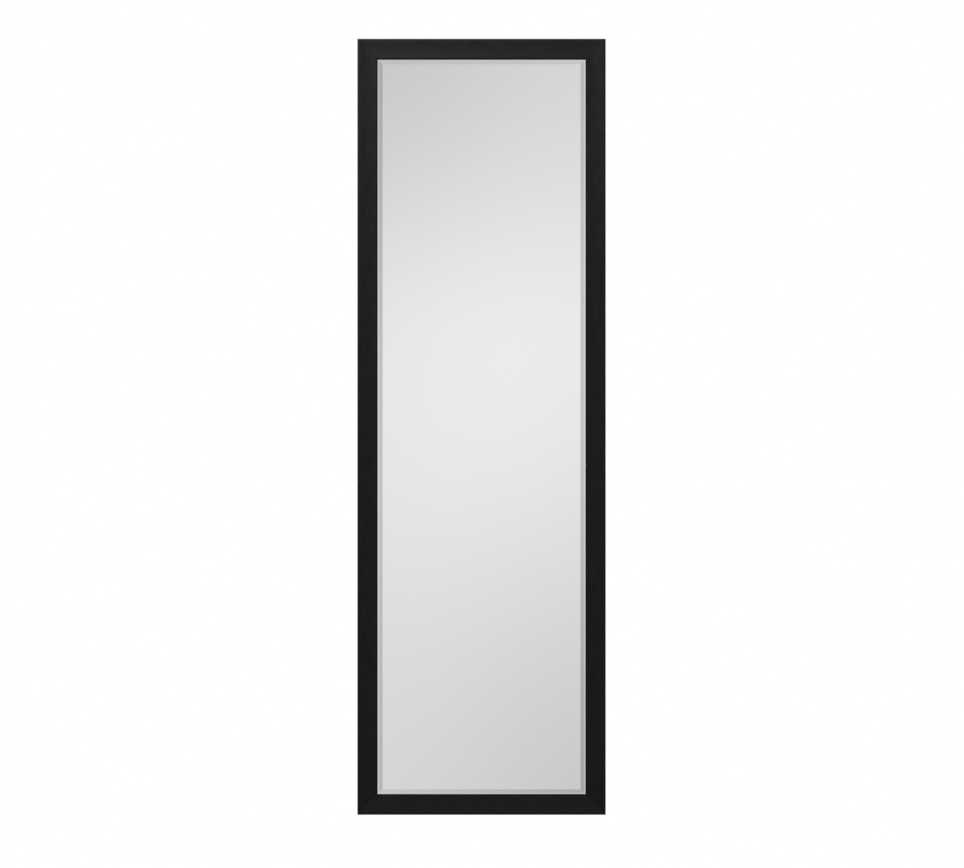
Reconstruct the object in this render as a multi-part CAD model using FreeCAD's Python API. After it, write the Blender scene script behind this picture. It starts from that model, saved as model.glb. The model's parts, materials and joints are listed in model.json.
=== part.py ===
import FreeCAD, Part
import math
import os

# Tall framed mirror for the inside of a closet. Two ball-bearing slides carry an upright post, and the
# mirror hangs on that post by two pivots. It pulls out along the closet's side panel and then swings
# round a quarter turn to face the user.
#
# All sizes are in millimetres.
#   +X  along the panel, the way the mirror pulls out
#   +Y  into the panel; the mirror faces -Y
#   +Z  up
# The origin is the centre of the four panel screws, on the panel's face.

Vec = FreeCAD.Vector

# ---------------------------------------------------------------- driving dimensions

# Mirror frame: four mitred wooden bars
mirror_width = 406.4
mirror_height = 1270.0
frame_depth = 20.0
face_width = 32.5
outer_round = 1.5
crest_width = 3.5        # flat strip of the face along its outer edge
crest_round = 25.0
hollow_at = 18.0         # where the hollow of the face is deepest, in from the outer edge
hollow_depth = 1.2
hollow_radius = 200.0
face_fall = 1.0          # how much lower the face is at its inner edge
inner_round = 0.6
lip_width = 5.0          # the lip that holds the glass from the front
lip_depth = 6.5

# Glass, its cardboard sheet and the board behind them
glass_thickness = 5.0
rebate_clearance = 0.8   # round the glass
bevel_width = 12.7
bevel_angle = 8.0
land_width = 6.6         # flatter rim outside the bevel
land_angle = 2.0
glass_seat_gap = 0.1     # between the rim of the glass and the lip
board_thickness = 6.0
board_clearance = 0.5

# Fixings on the back of the frame
nail_strip = 0.6
nail_leg = 5.5
nail_depth = 8.0
nail_sunk = 0.2
nail_insets = (9.0, 19.0)
clip_length = 28.0
clip_width = 12.0
clip_thickness = 1.0
corner_cut = 2.0         # chamfer on the corners of clips and plates
left_clip_count = 4
rail_clip_spacing = 190.0

# Ball-bearing slides, 45.7 mm high and 12.7 mm deep
slide_length = 396.0
slide_height = 45.7
slide_depth = 12.7
strip = 1.2              # steel thickness of the three members
ball_radius = 1.6
ball_clearance = 0.2
race_slope = 40.0        # how far each raceway wraps round its balls to either side, in degrees
race_step = 3.8          # from the outer row of balls to the inner row, across the slide
bend_radius = 1.3        # of the members' centreline
race_flat = 0.5
outer_lip = 1.2
middle_lip = 0.9
inner_lip = 0.3
cage_strip = 0.5
cage_gap = 0.2           # cage to member, where the cage runs in the narrow part
web_gap = 0.3            # cage to member, in the stepped middle
screw_head_room = 2.7    # for the heads of the panel screws
web_half = 8.0           # half-width of the stepped middle of the outer cage
step_shift = 1.0         # how much wider the next stepped web is
cage_arm_past_ball = 1.4
cage_arm_end_gap = 0.6   # from the inner cage's arms to the inner member
cage_corner = 0.5        # cut on the inner cage's corner, where it passes the middle member's bend
balls_per_row = 4
ball_end_margin = 8.0
pocket_half = 1.8
window_bridge = 18.0     # web left between two windows of a cage
window_half = 6.0
windows_per_cage = 3

# Travel, stops and fixing holes of the slides
travel = 380.0
end_stop_thickness = 6.0
end_stop_half = 15.0
end_stop_chamfer = 1.5
closed_gap = 0.5
stop_zone = 5.0          # from a member's end to the face of its stop
stop_gap = 0.5
stop_bite = 0.4          # how far a stop reaches over the edge of a cage
stop_length = 2.5
stop_width = 3.0
stop_half_spacing = 14.5
tab_half = 6.0
front_hole_margin = 52.0
rear_hole_margin = 56.0
panel_hole_radius = 2.25
access_draw = 40.0       # how far the carriage is drawn out to reach the front panel screws
access_half = 5.0

# Post and its screws
post_width = 30.0
post_depth = 12.3
post_sheet = 2.0
post_bend = 2.5
post_past_pivot = 30.0
carrier_screw_radius = 3.0
carrier_head_flats = 10.0
carrier_head_height = 4.0
carrier_screw_past = 3.0

# Pivots
pivot_inset = 195.0      # from the end of the mirror to the middle of its pivot
slide_offset = 56.0      # from a pivot to the slide next to it
axis_standoff = 10.3     # from the slide's face to the pivot axis
swing_clearance = 3.0    # from the slides' front ends to the mirror when it is swung out
edge_overhang = 13.2     # from the axis to the frame's outer edge
bracket_reach = 12.0     # from the post to the axis
bracket_sheet = 2.5
bracket_bend = 2.25
stop_clearance = 0.3     # from the bracket to the hinge plate
stop_edge_length = 11.0  # of the bracket's straight edge, behind the axis
bolt_radius = 3.0
bolt_head_flats = 10.0
bolt_head_height = 4.0
bolt_past = 7.5
nut_height = 6.0
knuckle_length = 30.0
knuckle_wall = 2.45
bush_wall = 0.95
bush_flange_radius = 6.0
bush_flange = 1.0
thrust_clearance = 0.15
running_fit = 0.05
seat_fit = 0.05
hinge_plate_thickness = 2.5
hinge_plate_height = 80.0
hinge_plate_behind = 12.0
hinge_plate_ahead = 8.0
plate_screw_radius = 2.5
plate_screw_length = 16.0
plate_head_flats = 8.0
plate_head_height = 3.4
plate_screw_offset = 32.0    # from the middle of the plate

# Rests that carry the free side of the mirror
rest_inset = 15.2
rest_sheet = 2.0
rest_bend = 2.5
rest_width = 24.0
rest_foot = 26.0
rest_past_bumper = 10.0
bumper_radius = 7.0
bumper_height = 5.7
bumper_gap = 0.3

# ---------------------------------------------------------------- places worked out from them

hole_spacing = slide_length - front_hole_margin - rear_hole_margin
slide_front = hole_spacing / 2 + front_hole_margin
slide_rear = slide_front - slide_length
pivot_z = mirror_height / 2 - pivot_inset
slide_z = pivot_z - slide_offset

bush_radius = bolt_radius + running_fit + bush_wall
knuckle_bore = bush_radius + seat_fit
knuckle_radius = knuckle_bore + knuckle_wall
axis_x = slide_front + swing_clearance - knuckle_radius - hinge_plate_thickness
axis_y = -slide_depth - axis_standoff
mirror_back = axis_y - knuckle_radius - hinge_plate_thickness
mirror_front = mirror_back - frame_depth
mirror_right = axis_x + edge_overhang
mirror_x = mirror_right - mirror_width / 2
mirror_left = mirror_right - mirror_width
rebate_inset = face_width - lip_width

post_right = axis_x - bracket_reach
post_left = post_right - post_width
post_x = (post_left + post_right) / 2
lug_half_gap = knuckle_length / 2 + bush_flange + thrust_clearance
lug_half = lug_half_gap + bracket_sheet
stop_radius = knuckle_radius - stop_clearance

# Slide section: u is the distance from the panel, w the height above the slide's middle
slope = math.radians(race_slope)
race_radius = ball_radius + ball_clearance + strip / 2
shoulder_u = strip + cage_gap + cage_strip + cage_gap + strip / 2
outer_ball = (shoulder_u + bend_radius + race_flat, slide_height / 2 - strip / 2 - race_radius)
race_drop = (2 * race_radius - race_step * math.sin(slope)) / math.cos(slope)
inner_ball = (outer_ball[0] + race_step, outer_ball[1] - race_drop)
outer_cage_web = strip + screw_head_room + cage_strip / 2
middle_web = outer_cage_web + cage_strip / 2 + web_gap + strip / 2
inner_cage_web = middle_web + strip / 2 + web_gap + cage_strip / 2
stop_rise = cage_gap + stop_bite

# Places along the slides with the mirror pushed in
stage = travel / 2
moving_rear = slide_rear + end_stop_thickness + closed_gap
inner_rear = moving_rear + stop_zone - strip
cage_middle = (moving_rear + slide_front) / 2
cage_length = slide_front - moving_rear - stage - 2 * (stop_zone + stop_gap)


# ---------------------------------------------------------------- general shapes

def block(xs, ys, zs):
    """Box between two places along each axis."""
    corner = Vec(min(xs), min(ys), min(zs))
    size = Vec(max(xs), max(ys), max(zs)) - corner
    return Part.makeBox(size.x, size.y, size.z, corner)


def rounded_corner(before, corner, after):
    """The corner's own point, or the start, middle and end of the arc that rounds it."""
    point = Vec(corner[0], corner[1], 0)
    if corner[2] == 0:
        return [point]
    back = (Vec(before[0], before[1], 0) - point).normalize()
    ahead = (Vec(after[0], after[1], 0) - point).normalize()
    half_angle = back.getAngle(ahead) / 2
    reach = corner[2] / math.tan(half_angle)
    inward = (back + ahead).normalize()
    middle = point + inward * (corner[2] / math.sin(half_angle) - corner[2])
    return [point + back * reach, middle, point + ahead * reach]


def prism(corners, origin, a_axis, b_axis, run):
    """Solid with the closed outline of (a, b, rounding radius) corners, drawn out along run."""
    def placed(point):
        return origin + a_axis * point.x + b_axis * point.y

    count = len(corners)
    points = []
    for i in range(count):
        points.append(rounded_corner(corners[i - 1], corners[i], corners[(i + 1) % count]))
    edges = []
    for i in range(count):
        if len(points[i]) == 3:
            edges.append(Part.Arc(*[placed(p) for p in points[i]]).toShape())
        start = placed(points[i][-1])
        end = placed(points[(i + 1) % count][0])
        if start.distanceToPoint(end) > 1e-6:
            edges.append(Part.makeLine(start, end))
    return Part.Face(Part.Wire(edges)).extrude(run)


def shifted(path, shift):
    """Open path of (a, b, bend radius) corners moved to its left, its bends kept concentric."""
    moved = []
    last = len(path) - 1
    for i, (a, b, radius) in enumerate(path):
        start = path[max(i - 1, 0)]
        near = path[max(i, 1)]
        far = path[min(i, last - 1)]
        end = path[min(i + 1, last)]
        before = Vec(near[0] - start[0], near[1] - start[1], 0).normalize()
        after = Vec(end[0] - far[0], end[1] - far[1], 0).normalize()
        sideways = Vec(-before.y - after.y, before.x + after.x, 0) * (shift / (1 + before.dot(after)))
        turn = before.x * after.y - before.y * after.x
        if radius > 0:
            radius = radius - shift * math.copysign(1, turn)
        moved.append((a + sideways.x, b + sideways.y, radius))
    return moved


def folded(path, thickness):
    """Outline of a sheet-metal strip whose centreline is the path."""
    return shifted(path, thickness / 2) + shifted(path, -thickness / 2)[::-1]


def both_halves(half):
    """Whole path across a slide from the half above its middle, which starts on the middle."""
    lower = [(u, -w, radius) for u, w, radius in half[:0:-1]]
    return lower + half[1:]


def chamfered(half_a, half_b, cut):
    """Outline of a rectangle with its corners cut, centred on the origin."""
    a = half_a - cut
    b = half_b - cut
    points = [(half_a, b), (a, half_b), (-a, half_b), (-half_a, b)]
    points += [(-half_a, -b), (-a, -half_b), (a, -half_b), (half_a, -b)]
    return [(p, q, 0) for p, q in points]


def hexagon(flats, origin, a_axis, b_axis, run):
    """Six-sided prism, measured across its flats."""
    reach = flats / math.sqrt(3)
    corners = []
    for i in range(6):
        turn = math.radians(60 * i)
        corners.append((reach * math.cos(turn), reach * math.sin(turn), 0))
    return prism(corners, origin, a_axis, b_axis, run)


# ---------------------------------------------------------------- slides

def slide_strip(half_path, thickness, x_from, x_to, z):
    """Rolled section of a slide member or a cage, from one place along the slide to another."""
    outline = folded(both_halves(half_path), thickness)
    return prism(outline, Vec(x_from, 0, z), Vec(0, -1, 0), Vec(0, 0, 1), Vec(x_to - x_from, 0, 0))


def lip_end(ball, lip):
    """End of a raceway that wraps over a ball and runs on by the lip's length."""
    u = ball[0] + race_radius * math.sin(slope) + lip * math.cos(slope)
    w = ball[1] + race_radius * math.cos(slope) - lip * math.sin(slope)
    return (u, w, 0)


def race_top(ball):
    """Corner over a ball, which the raceway's own radius rounds."""
    return (ball[0], ball[1] + race_radius / math.cos(slope), race_radius)


def outer_path():
    """Outer member: flat on the panel, its edges rolled over the outer rows of balls."""
    top = race_top(outer_ball)
    web = strip / 2
    corner_w = top[1] - (top[0] - web) * math.tan(slope)
    return [(web, 0, 0), (web, corner_w, bend_radius), top, lip_end(outer_ball, outer_lip)]


def middle_path():
    """Middle member: stepped web, raceway under the outer balls, raceway over the inner balls."""
    step_w = web_half + step_shift
    floor_w = outer_ball[1] - race_radius
    under_ball = outer_ball[0] + race_radius * math.tan(slope / 2)
    return [(middle_web, 0, 0), (middle_web, step_w, 0),
            (shoulder_u, step_w + middle_web - shoulder_u, 0),
            (shoulder_u, floor_w, bend_radius), (under_ball, floor_w, race_radius),
            race_top(inner_ball), lip_end(inner_ball, middle_lip)]


def inner_path():
    """Inner member: flat against the post, its edges rolled under the inner rows of balls."""
    web = slide_depth - strip / 2
    floor_w = inner_ball[1] - race_radius
    under_ball = inner_ball[0] - race_radius * math.tan(slope / 2)
    end_u = inner_ball[0] - race_radius * math.sin(slope) - inner_lip * math.cos(slope)
    end_w = inner_ball[1] - race_radius * math.cos(slope) + inner_lip * math.sin(slope)
    return [(web, 0, 0), (web, floor_w, bend_radius), (under_ball, floor_w, race_radius),
            (end_u, end_w, 0)]


def outer_cage_path():
    """Cage of the outer balls: stepped web, then arms through the middle of the balls."""
    shoulder = strip + cage_gap + cage_strip / 2
    outer_corner = outer_path()[1]
    clear = race_radius - strip / 2 - cage_strip / 2
    corner_w = outer_corner[1] + (shoulder - outer_corner[0]) * math.tan(slope) - clear / math.cos(slope)
    arm_u = shoulder + (outer_ball[1] - corner_w) / math.tan(slope)
    return [(outer_cage_web, 0, 0), (outer_cage_web, web_half, 0),
            (shoulder, web_half + outer_cage_web - shoulder, 0),
            (shoulder, corner_w, 0), (arm_u, outer_ball[1], 0),
            (outer_ball[0] + cage_arm_past_ball, outer_ball[1], 0)]


def inner_cage_path():
    """Cage of the inner balls: stepped web, then arms across the balls just below their middle."""
    shoulder = shoulder_u + strip / 2 + cage_gap + cage_strip / 2
    step_w = web_half + 2 * step_shift
    arm_w = outer_ball[1] - race_radius - strip / 2 - cage_gap - cage_strip / 2
    end_u = slide_depth - strip - cage_arm_end_gap
    return [(inner_cage_web, 0, 0), (inner_cage_web, step_w, 0),
            (shoulder, step_w + inner_cage_web - shoulder, 0),
            (shoulder, arm_w - cage_corner, 0), (shoulder + cage_corner, arm_w, 0),
            (end_u, arm_w, 0)]


def stops(x_stop, towards, u_from, u_to, z):
    """Two raised pads on a member's web; their faces are at x_stop and their bodies lie beyond it."""
    pads = []
    for side in (-1, 1):
        middle = z + side * stop_half_spacing
        pads.append(block((x_stop, x_stop + towards * stop_length), (-u_from, -u_to),
                          (middle - stop_width / 2, middle + stop_width / 2)))
    return pads


def access_windows(x_places, z):
    """Cutters for the windows that a screwdriver reaches the panel screws through."""
    cutters = []
    for x in x_places:
        cutters.append(block((x - access_half, x + access_half), (0, -slide_depth),
                             (z - access_half, z + access_half)))
    return cutters


def panel_holes(z):
    """Cutters for the two panel screws of one slide."""
    cutters = []
    for x in (-hole_spacing / 2, hole_spacing / 2):
        cutters.append(Part.makeCylinder(panel_hole_radius, 2 * strip, Vec(x, -1.5 * strip, z),
                                         Vec(0, 1, 0)))
    return cutters


def outer_member(z):
    member = slide_strip(outer_path(), strip, slide_rear, slide_front, z)
    pads = stops(slide_front - stop_zone, 1, strip / 2, strip + stop_rise, z)
    return member.fuse(pads).cut(panel_holes(z))


def middle_member(z):
    member = slide_strip(middle_path(), strip, moving_rear, slide_front, z)
    inner_face = shoulder_u + strip / 2
    outer_face = shoulder_u - strip / 2
    pads = stops(slide_front - stop_zone, 1, shoulder_u, inner_face + stop_rise, z)
    pads += stops(moving_rear + stop_zone, -1, shoulder_u, outer_face - stop_rise, z)
    reached_drawn = hole_spacing / 2 - access_draw / 2
    return member.fuse(pads).cut(access_windows((-hole_spacing / 2, reached_drawn), z))


def carrier_screw_hole(z):
    """Cutter for the hole that a carrier screw passes through, in the post and the inner member."""
    start = Vec(post_x, -slide_depth - 2 * post_sheet, z)
    length = 2 * post_sheet + 2 * strip
    return Part.makeCylinder(carrier_screw_radius + seat_fit, length, start, Vec(0, 1, 0))


def inner_member(z):
    member = slide_strip(inner_path(), strip, inner_rear, slide_front, z)
    tab_end = inner_cage_web + cage_strip / 2 - stop_bite
    tab = block((inner_rear, inner_rear + strip), (-slide_depth + strip / 2, -tab_end),
                (z - tab_half, z + tab_half))
    reached_drawn = hole_spacing / 2 - access_draw
    cutters = access_windows((-hole_spacing / 2, reached_drawn), z) + [carrier_screw_hole(z)]
    return member.fuse(tab).cut(cutters)


def ball_places(ball):
    """Places of the balls of one cage, as (x, u, w)."""
    reach = cage_length / 2 - ball_end_margin
    pitch = 2 * reach / (balls_per_row - 1)
    places = []
    for i in range(balls_per_row):
        for side in (-1, 1):
            places.append((cage_middle - reach + i * pitch, ball[0], side * ball[1]))
    return places


def cage_windows(z):
    """Cutters for the windows in a cage's web."""
    pitch = cage_length / windows_per_cage
    reach = (pitch - window_bridge) / 2
    cutters = []
    for i in range(windows_per_cage):
        x = cage_middle + (i - (windows_per_cage - 1) / 2) * pitch
        cutters.append(block((x - reach, x + reach), (0, -slide_depth),
                             (z - window_half, z + window_half)))
    return cutters


def cage(path, ball, arm_w, z):
    """Strip that spaces one cage of balls, with a pocket for each ball in its arms."""
    ends = (cage_middle - cage_length / 2, cage_middle + cage_length / 2)
    strip_shape = slide_strip(path, cage_strip, ends[0], ends[1], z)
    cutters = cage_windows(z)
    for x, u, w in ball_places(ball):
        arm = z + math.copysign(arm_w, w)
        cutters.append(block((x - pocket_half, x + pocket_half), (-u - pocket_half, -u + pocket_half),
                             (arm - 2 * cage_strip, arm + 2 * cage_strip)))
    return strip_shape.cut(cutters)


def outer_cage(z):
    return cage(outer_cage_path(), outer_ball, outer_ball[1], z)


def inner_cage(z):
    path = inner_cage_path()
    return cage(path, inner_ball, path[-1][1], z)


def balls(ball, z):
    """The balls of one cage. Each is ground from a cube into 26 flats that touch the ball's sphere."""
    flat = ball_radius / math.sqrt(1 + 2 * (math.sqrt(2) - 1) ** 2)
    cube = Part.makeBox(2 * flat, 2 * flat, 2 * flat, Vec(-flat, -flat, -flat))
    one = cube.makeChamfer(flat * (2 - math.sqrt(2)), cube.Edges)
    group = []
    for x, u, w in ball_places(ball):
        group.append(one.translated(Vec(x, -u, z + w)))
    return Part.makeCompound(group)


def end_stops():
    """Nylon block at the rear of each outer member, which the moving members close against."""
    blocks = []
    middle_y = -(strip + slide_depth) / 2
    outline = chamfered((slide_depth - strip) / 2, end_stop_half, end_stop_chamfer)
    for z in (-slide_z, slide_z):
        blocks.append(prism(outline, Vec(slide_rear, middle_y, z), Vec(0, 1, 0), Vec(0, 0, 1),
                            Vec(end_stop_thickness, 0, 0)))
    return Part.makeCompound(blocks)


# ---------------------------------------------------------------- carriage

def carrier_post():
    """Upright channel that joins the two slides and carries the pivots."""
    half = post_sheet / 2
    front = slide_depth + post_depth
    web = slide_depth + half
    path = [(post_left + half, front, 0), (post_left + half, web, post_bend),
            (post_right - half, web, post_bend), (post_right - half, front, 0)]
    bottom = -pivot_z - post_past_pivot
    post = prism(folded(path, post_sheet), Vec(0, 0, bottom), Vec(1, 0, 0), Vec(0, -1, 0),
                 Vec(0, 0, -2 * bottom))
    return post.cut([carrier_screw_hole(-slide_z), carrier_screw_hole(slide_z)])


def carrier_screws():
    """Hexagon-head screw that holds the post to each inner member."""
    length = post_sheet + strip + carrier_screw_past
    screws = []
    for z in (-slide_z, slide_z):
        seat = Vec(post_x, -slide_depth - post_sheet, z)
        head = hexagon(carrier_head_flats, seat, Vec(1, 0, 0), Vec(0, 0, 1),
                       Vec(0, -carrier_head_height, 0))
        screws.append(head.fuse(Part.makeCylinder(carrier_screw_radius, length, seat, Vec(0, 1, 0))))
    return Part.makeCompound(screws)


def pivot_bracket(z):
    """Fork on the post's side. Its lugs hold the pivot bolt and stop the hinge plate at 90 degrees."""
    tip = axis_x + stop_radius
    base = post_right + bracket_sheet / 2
    lug = lug_half - bracket_sheet / 2
    back = axis_y + stop_edge_length
    path = [(tip, lug, 0), (base, lug, bracket_bend), (base, -lug, bracket_bend), (tip, -lug, 0)]
    fork = prism(folded(path, bracket_sheet), Vec(0, axis_y - stop_radius, z), Vec(1, 0, 0),
                 Vec(0, 0, 1), Vec(0, stop_radius + stop_edge_length, 0))
    plan = [(post_right, axis_y - stop_radius, 0), (tip, axis_y - stop_radius, stop_radius),
            (tip, back, 0), (post_right, back, 0)]
    plan_prism = prism(plan, Vec(0, 0, z - lug_half), Vec(1, 0, 0), Vec(0, 1, 0),
                       Vec(0, 0, 2 * lug_half))
    hole = Part.makeCylinder(bolt_radius + seat_fit, 2 * lug_half, Vec(axis_x, axis_y, z - lug_half))
    return fork.common(plan_prism).cut(hole)


def pivot_bolts():
    """Hexagon-head bolt down through the lugs and the bush of each pivot."""
    bolts = []
    for z in (-pivot_z, pivot_z):
        seat = Vec(axis_x, axis_y, z + lug_half)
        head = hexagon(bolt_head_flats, seat, Vec(1, 0, 0), Vec(0, 1, 0), Vec(0, 0, bolt_head_height))
        shank = Part.makeCylinder(bolt_radius, 2 * lug_half + bolt_past, seat, Vec(0, 0, -1))
        bolts.append(head.fuse(shank))
    return Part.makeCompound(bolts)


def lock_nuts():
    """Nut under the lower lug of each pivot."""
    nuts = []
    for z in (-pivot_z, pivot_z):
        seat = Vec(axis_x, axis_y, z - lug_half)
        body = hexagon(bolt_head_flats, seat, Vec(1, 0, 0), Vec(0, 1, 0), Vec(0, 0, -nut_height))
        hole = Part.makeCylinder(bolt_radius + seat_fit, nut_height, seat, Vec(0, 0, -1))
        nuts.append(body.cut(hole))
    return Part.makeCompound(nuts)


def rest_bracket(z):
    """Z-shaped strip on the rear of an inner member, which reaches forward behind the frame."""
    half = rest_sheet / 2
    bumper_x = mirror_left + rest_inset
    tip = bumper_x - rest_past_bumper
    riser = max(bumper_x + rest_past_bumper, inner_rear + rest_past_bumper)
    foot_u = slide_depth + half
    plate_u = -mirror_back - bumper_gap - bumper_height - half
    path = [(tip, plate_u, 0), (riser, plate_u, rest_bend), (riser, foot_u, rest_bend),
            (riser + rest_foot, foot_u, 0)]
    return prism(folded(path, rest_sheet), Vec(0, 0, z - rest_width / 2), Vec(1, 0, 0),
                 Vec(0, -1, 0), Vec(0, 0, rest_width))


def rest_bumpers():
    """Rubber buffers that the back of the left stile lies against."""
    bumpers = []
    for z in (-slide_z, slide_z):
        base = Vec(mirror_left + rest_inset, mirror_back + bumper_gap + bumper_height, z)
        bumpers.append(Part.makeCylinder(bumper_radius, bumper_height, base, Vec(0, -1, 0)))
    return Part.makeCompound(bumpers)


# ---------------------------------------------------------------- mirror

def frame_bar(length, from_middle, turn):
    """Moulded bar with mitred ends. It is made as the bottom rail, then turned about the middle."""
    section = [(0, frame_depth, 0), (0, 0, outer_round), (crest_width, 0, crest_round),
               (hollow_at, hollow_depth, hollow_radius), (face_width, face_fall, inner_round),
               (face_width, lip_depth, 0), (rebate_inset, lip_depth, 0), (rebate_inset, frame_depth, 0)]
    half = length / 2
    bar = prism(section, Vec(-half, mirror_front, -from_middle), Vec(0, 0, 1), Vec(0, 1, 0),
                Vec(length, 0, 0))
    mitre = [(-half, 0, 0), (half, 0, 0), (half - face_width, face_width, 0),
             (face_width - half, face_width, 0)]
    ends = prism(mitre, Vec(0, mirror_front, -from_middle), Vec(1, 0, 0), Vec(0, 0, 1),
                 Vec(0, frame_depth, 0))
    bar = bar.common(ends)
    bar.rotate(Vec(0, 0, 0), Vec(0, 1, 0), turn)
    return bar.translated(Vec(mirror_x, 0, 0))


def bevel_drop(width, angle):
    return width * math.tan(math.radians(angle))


def glass_front():
    """Where the flat middle of the glass is, so that its rim just clears the lip."""
    past_lip = land_width - (lip_width - rebate_clearance)
    drop_at_lip = bevel_drop(bevel_width - land_width, bevel_angle) + bevel_drop(past_lip, land_angle)
    return mirror_front + lip_depth - drop_at_lip + glass_seat_gap


def pane_section(half):
    """Section through the glass: flat middle, bevel and flatter rim on each side."""
    land = bevel_drop(bevel_width - land_width, bevel_angle)
    edge = land + bevel_drop(land_width, land_angle)
    right = [(half - bevel_width, 0, 0), (half - land_width, land, 0), (half, edge, 0),
             (half, glass_thickness, 0)]
    left = [(-a, depth, 0) for a, depth, radius in right[::-1]]
    return right + left


def mirror_glass():
    half_width = mirror_width / 2 - rebate_inset - rebate_clearance
    half_height = mirror_height / 2 - rebate_inset - rebate_clearance
    front = glass_front()
    across = prism(pane_section(half_width), Vec(mirror_x, front, -half_height), Vec(1, 0, 0),
                   Vec(0, 1, 0), Vec(0, 0, 2 * half_height))
    upright = prism(pane_section(half_height), Vec(mirror_x - half_width, front, 0), Vec(0, 0, 1),
                    Vec(0, 1, 0), Vec(2 * half_width, 0, 0))
    return across.common(upright)


def behind_glass(inset, y_from, y_to):
    """Flat sheet that fills the rebate from one depth to another."""
    half_width = mirror_width / 2 - inset
    half_height = mirror_height / 2 - inset
    return block((mirror_x - half_width, mirror_x + half_width), (y_from, y_to),
                 (-half_height, half_height))


def cardboard_sheet():
    return behind_glass(rebate_inset + rebate_clearance, glass_front() + glass_thickness,
                        mirror_back - board_thickness)


def backing_board():
    return behind_glass(rebate_inset + board_clearance, mirror_back - board_thickness, mirror_back)


def corner_v_nails():
    """Angled steel nails driven into the back of the frame across each mitre."""
    nails = []
    for side in (-1, 1):
        for end in (-1, 1):
            for inset in nail_insets:
                x = mirror_x + side * (mirror_width / 2 - inset)
                z = end * (mirror_height / 2 - inset)
                path = [(x - side * nail_leg, z, 0), (x, z, 0), (x, z - end * nail_leg, 0)]
                nails.append(prism(folded(path, nail_strip), Vec(0, mirror_back - nail_depth, 0),
                                   Vec(1, 0, 0), Vec(0, 0, 1), Vec(0, nail_depth - nail_sunk, 0)))
    return Part.makeCompound(nails)


def clip_places():
    """Middles of the backing clips as (x, z, runs along X)."""
    inset = rebate_inset
    left = mirror_left + inset
    right = mirror_right - inset
    top = mirror_height / 2 - inset
    places = []
    for i in range(left_clip_count):
        z = (i - (left_clip_count - 1) / 2) * mirror_height / left_clip_count
        places.append((left, z, True))
    for z in (-pivot_z / 2, 0, pivot_z / 2):
        places.append((right, z, True))
    for x in (-rail_clip_spacing / 2, rail_clip_spacing / 2):
        places.append((mirror_x + x, top, False))
        places.append((mirror_x + x, -top, False))
    return places


def backing_clips():
    """Small steel plates across the joint between the frame and the board."""
    clips = []
    for x, z, along_x in clip_places():
        half_a = clip_length / 2 if along_x else clip_width / 2
        half_b = clip_width / 2 if along_x else clip_length / 2
        clips.append(prism(chamfered(half_a, half_b, corner_cut), Vec(x, mirror_back, z),
                           Vec(1, 0, 0), Vec(0, 0, 1), Vec(0, clip_thickness, 0)))
    return Part.makeCompound(clips)


def plate_screw_seats(z):
    """Middles of one hinge plate's screw heads, on the plate's outer face."""
    x = axis_x + (hinge_plate_ahead - hinge_plate_behind) / 2
    y = mirror_back + hinge_plate_thickness
    return [Vec(x, y, z - plate_screw_offset), Vec(x, y, z + plate_screw_offset)]


def hinge_plate(z):
    """Plate on the back of the right stile, with the knuckle that the pivot's bush sits in."""
    half_width = (hinge_plate_behind + hinge_plate_ahead) / 2
    middle_x = axis_x + (hinge_plate_ahead - hinge_plate_behind) / 2
    plate = prism(chamfered(half_width, hinge_plate_height / 2, corner_cut),
                  Vec(middle_x, mirror_back, z), Vec(1, 0, 0), Vec(0, 0, 1), Vec(0, hinge_plate_thickness, 0))
    axis = Vec(axis_x, axis_y, z - knuckle_length / 2)
    reach = knuckle_radius + hinge_plate_thickness / 2
    round_end = [(-knuckle_radius, -reach, 0), (knuckle_radius, -reach, 0),
                 (knuckle_radius, knuckle_radius, knuckle_radius),
                 (-knuckle_radius, knuckle_radius, knuckle_radius)]
    knuckle = prism(round_end, axis, Vec(1, 0, 0), Vec(0, 1, 0), Vec(0, 0, knuckle_length))
    cutters = [Part.makeCylinder(knuckle_bore, knuckle_length, axis)]
    for seat in plate_screw_seats(z):
        cutters.append(Part.makeCylinder(plate_screw_radius + seat_fit, hinge_plate_thickness, seat,
                                         Vec(0, -1, 0)))
    return plate.fuse(knuckle).cut(cutters)


def hinge_plate_screws():
    """Hexagon-head wood screws that hold the hinge plates to the stile."""
    screws = []
    for seat in plate_screw_seats(-pivot_z) + plate_screw_seats(pivot_z):
        head = hexagon(plate_head_flats, seat, Vec(1, 0, 0), Vec(0, 0, 1), Vec(0, plate_head_height, 0))
        screws.append(head.fuse(Part.makeCylinder(plate_screw_radius, plate_screw_length, seat,
                                                  Vec(0, -1, 0))))
    return Part.makeCompound(screws)


def hinge_bushes():
    """Nylon bush in each knuckle, its flange below and its top standing proud of the knuckle."""
    bushes = []
    for pivot in (-pivot_z, pivot_z):
        bottom = Vec(axis_x, axis_y, pivot - knuckle_length / 2)
        sleeve = Part.makeCylinder(bush_radius, knuckle_length + bush_flange, bottom)
        flange = Part.makeCylinder(bush_flange_radius, bush_flange, bottom, Vec(0, 0, -1))
        bore = Part.makeCylinder(bolt_radius + running_fit, knuckle_length + 2 * bush_flange,
                                 bottom - Vec(0, 0, bush_flange))
        bushes.append(sleeve.fuse(flange).cut(bore))
    return Part.makeCompound(bushes)


# ---------------------------------------------------------------- the whole mirror

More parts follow.
